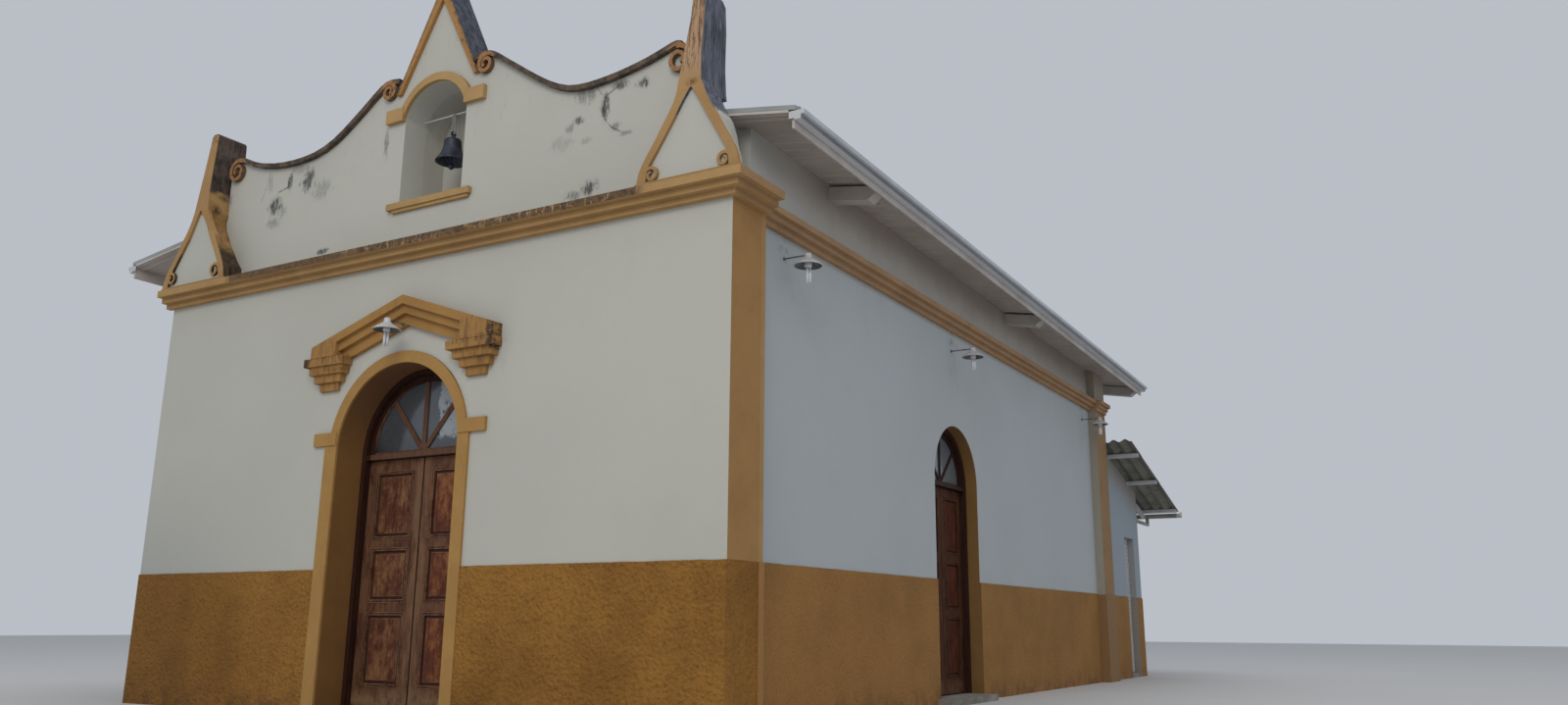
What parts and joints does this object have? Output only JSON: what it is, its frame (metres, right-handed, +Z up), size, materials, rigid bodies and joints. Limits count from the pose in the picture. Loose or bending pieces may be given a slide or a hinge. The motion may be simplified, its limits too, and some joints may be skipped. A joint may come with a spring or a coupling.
{
  "type": "small chapel",
  "caption": "Small rendered masonry chapel with a curved parapet front, a gabled bell niche, arched panelled doors, a low metal roof and a lean-to sacristy.",
  "frame": {"origin": "on the ground under the middle of the front, in the plane of the front wall's outer face", "axes": "+X to the right along the front as seen from outside, +Y from the front into the nave, +Z up"},
  "size_m": [9.06, 14.8649, 7.125],
  "materials": {
    "bell_iron": "matte",
    "concrete": "matte",
    "dark_wood": "satin",
    "glass": "gloss",
    "gutter_metal": "satin",
    "lamp_enamel": "gloss",
    "lap_metal": "satin",
    "ochre_trim": "matte",
    "old_roof_metal": "matte",
    "roof_metal": "satin",
    "soffit_white": "matte",
    "steel_bar": "matte",
    "wall_render": "matte",
    "white_door_metal": "satin"
  },
  "bodies": {
    "building": {"bell_bar": "steel_bar", "bell_housing": "wall_render", "coping_left": "ochre_trim", "coping_right": "ochre_trim", "corner_pilasters": "ochre_trim", "door_architrave": "ochre_trim", "door_hood": "ochre_trim", "eaves_soffits": "soffit_white", "fanlight_glass": "glass", "fascia_boards": "soffit_white", "floor_slabs": "concrete", "front_cornice": "ochre_trim", "front_wall_arch": "wall_render", "front_wall_left": "wall_render", "front_wall_right": "wall_render", "gable_coping": "ochre_trim", "gutters": "gutter_metal", "left_side_door": "dark_wood", "left_wall": "wall_render", "main_door_frame": "dark_wood", "nave_rear_wall": "wall_render", "niche_surround": "ochre_trim", "parapet_left": "wall_render", "parapet_middle": "wall_render", "parapet_right": "wall_render", "pinnacle_left": "ochre_trim", "pinnacle_right": "ochre_trim", "ridge_cap": "roof_metal", "right_wall_arch": "wall_render", "right_wall_front": "wall_render", "right_wall_rear": "wall_render", "roof_beams": "soffit_white", "roof_sheets": "roof_metal", "sacristy_door_lintel": "wall_render", "sacristy_left_wall": "wall_render", "sacristy_purlins": "lap_metal", "sacristy_rafters": "lap_metal", "sacristy_rear_wall": "wall_render", "sacristy_roof": "old_roof_metal", "sacristy_wall_corner": "wall_render", "sacristy_wall_front": "wall_render", "side_cornices": "ochre_trim", "side_door_frame": "dark_wood", "side_door_steps": "concrete", "wall_lamps": "lamp_enamel"},
    "main_leaf_left": {"main_door_leaf_left": "dark_wood"},
    "main_leaf_right": {"main_door_leaf_right": "dark_wood"},
    "side_leaf_front": {"side_door_leaf_front": "dark_wood"},
    "side_leaf_rear": {"side_door_leaf_rear": "dark_wood"},
    "sacristy_leaf": {"sacristy_door": "white_door_metal"},
    "bell_body": {"bell": "bell_iron", "bell_hanger": "steel_bar"},
    "clapper_body": {"bell_clapper": "bell_iron"}
  },
  "joints": [
    {"name": "main_door_left", "type": "hinge", "parent": "building", "child": "main_leaf_left", "pos_m": [-0.6975, 0.4045, 1.2], "axis": [0, 0, 1], "range_deg": [0, 95]},
    {"name": "main_door_right", "type": "hinge", "parent": "building", "child": "main_leaf_right", "pos_m": [0.7475, 0.4045, 1.2], "axis": [0, 0, -1], "range_deg": [0, 95]},
    {"name": "side_door_front", "type": "hinge", "parent": "building", "child": "side_leaf_front", "pos_m": [3.2305, 4.3645, 1.2], "axis": [0, 0, 1], "range_deg": [0, 95]},
    {"name": "side_door_rear", "type": "hinge", "parent": "building", "child": "side_leaf_rear", "pos_m": [3.2305, 5.5255, 1.2], "axis": [0, 0, -1], "range_deg": [0, 95]},
    {"name": "sacristy_door_hinge", "type": "hinge", "parent": "building", "child": "sacristy_leaf", "pos_m": [3.341, 13.047, 1.2], "axis": [0, 0, -1], "range_deg": [0, 90]},
    {"name": "bell_swing", "type": "hinge", "parent": "building", "child": "bell_body", "pos_m": [0.01, 0.42, 5.77], "axis": [1, 0, 0], "range_deg": [-25, 12]},
    {"name": "clapper_swing", "type": "hinge", "parent": "bell_body", "child": "clapper_body", "pos_m": [0.01, 0.42, 5.465], "axis": [1, 0, 0], "range_deg": [-18, 18]}
  ]
}
